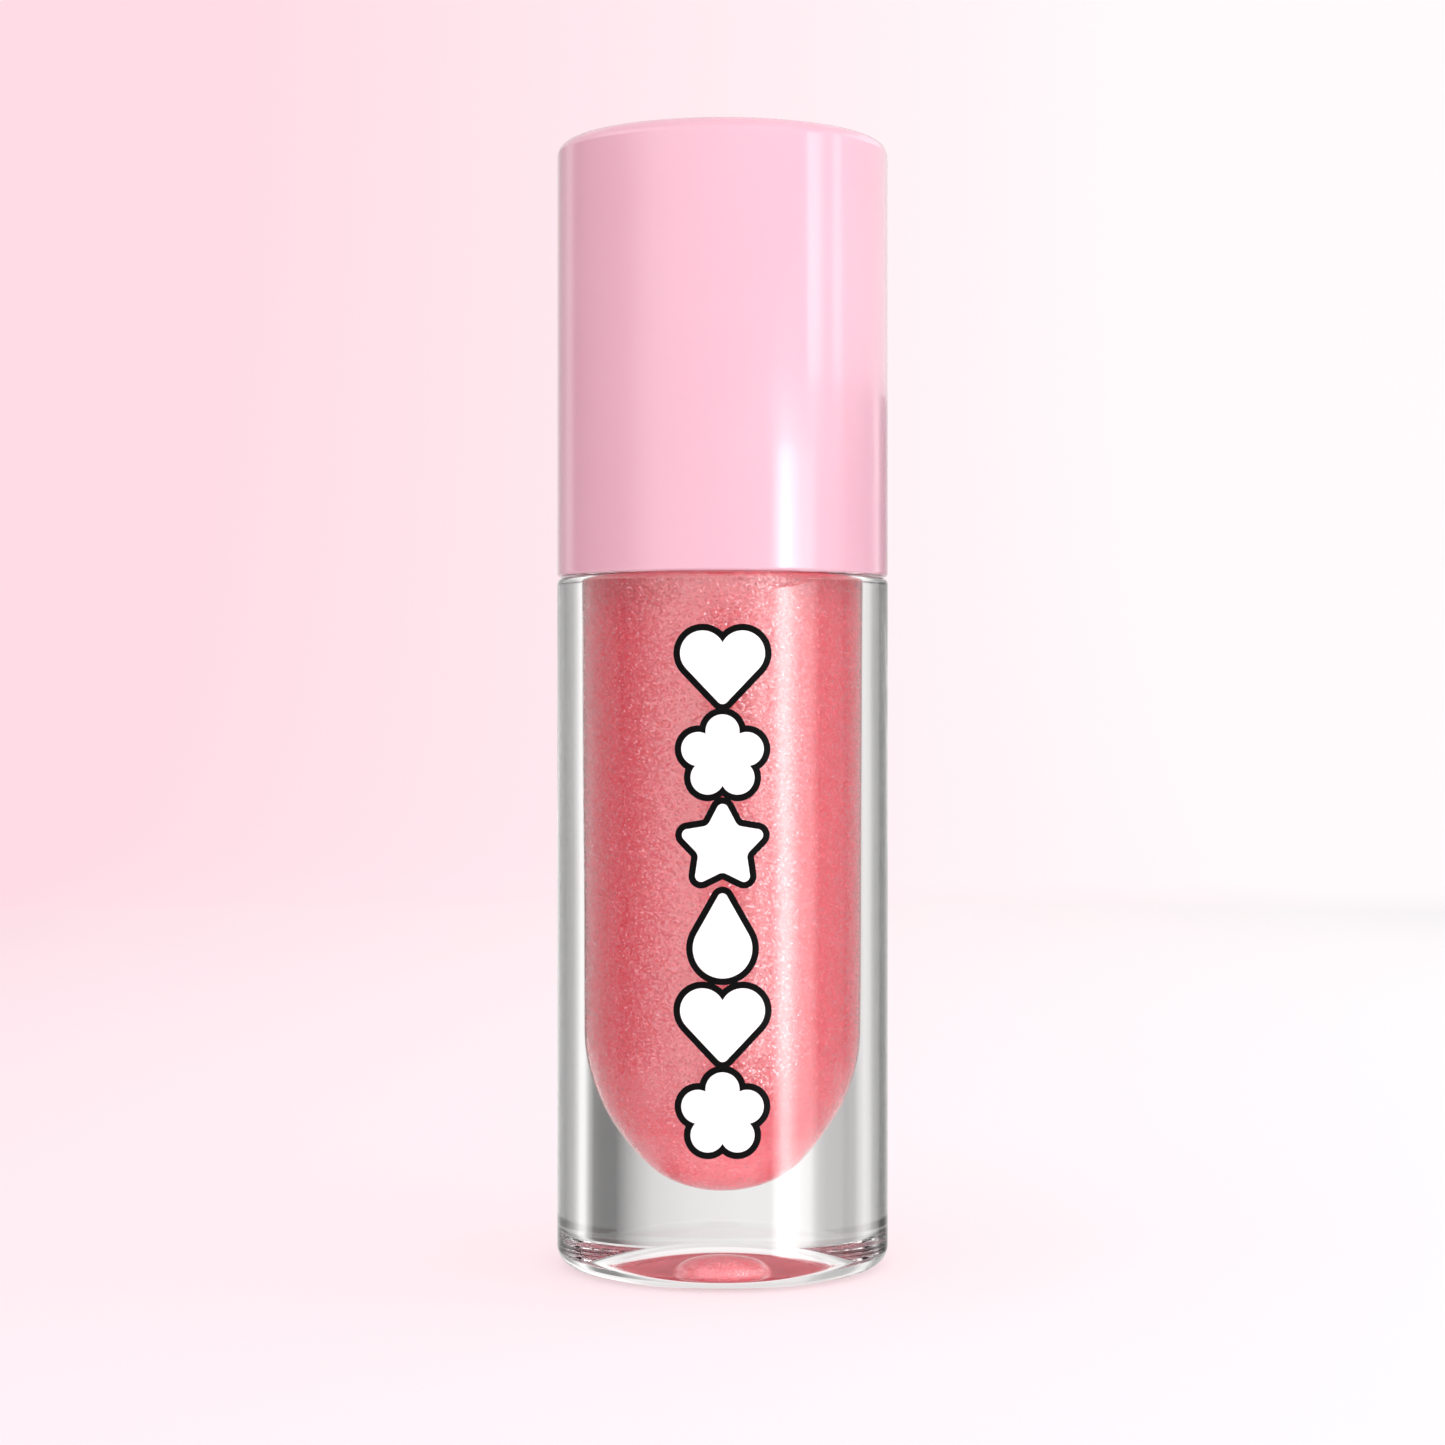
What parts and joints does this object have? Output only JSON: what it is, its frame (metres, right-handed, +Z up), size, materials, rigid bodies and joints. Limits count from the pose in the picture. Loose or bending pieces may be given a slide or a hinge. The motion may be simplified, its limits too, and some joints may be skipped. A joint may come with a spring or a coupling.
{
  "type": "lip gloss tube",
  "caption": "Upright cylindrical lip gloss tube: clear thick-walled bottle with a bullet-shaped fill, wiper in the threaded neck, and a screw cap that carries the wand.",
  "frame": {"origin": "middle of the base, on the plane the tube stands on", "axes": "+Z up along the tube's axis, -Y is the printed front"},
  "size_m": [0.022, 0.022, 0.0742],
  "materials": {
    "clear_wall": "polished",
    "shimmer_gloss": "gloss",
    "wiper_plastic": "satin",
    "pink_cap": "gloss",
    "liner_plastic": "satin",
    "foam": "matte",
    "wand_plastic": "gloss",
    "tip_plastic": "satin",
    "flock": "matte",
    "white_ink": "gloss",
    "black_ink": "gloss"
  },
  "bodies": {
    "tube": {"bottle": "clear_wall", "gloss": "shimmer_gloss", "wiper": "wiper_plastic", "print_fill": "white_ink", "print_outline": "black_ink"},
    "washer": {"sealing_washer": "foam"},
    "cap": {"cap_shell": "pink_cap", "inner_cap": "liner_plastic", "wand_stem": "wand_plastic", "applicator_tip": "tip_plastic", "flock_coat": "flock"}
  },
  "joints": [
    {"name": "cap_lift", "type": "slide", "parent": "tube", "child": "washer", "axis": [0, 0, 1], "range_m": [0, 0.052]},
    {"name": "cap_turn", "type": "hinge", "parent": "washer", "child": "cap", "pos_m": [0, 0, 0.05], "axis": [0, 0, 1], "range_deg": [0, 4680]}
  ],
  "couplings": [
    {"joint": "cap_lift", "follows": "cap_turn", "m_per_rad": 0.00063662}
  ]
}
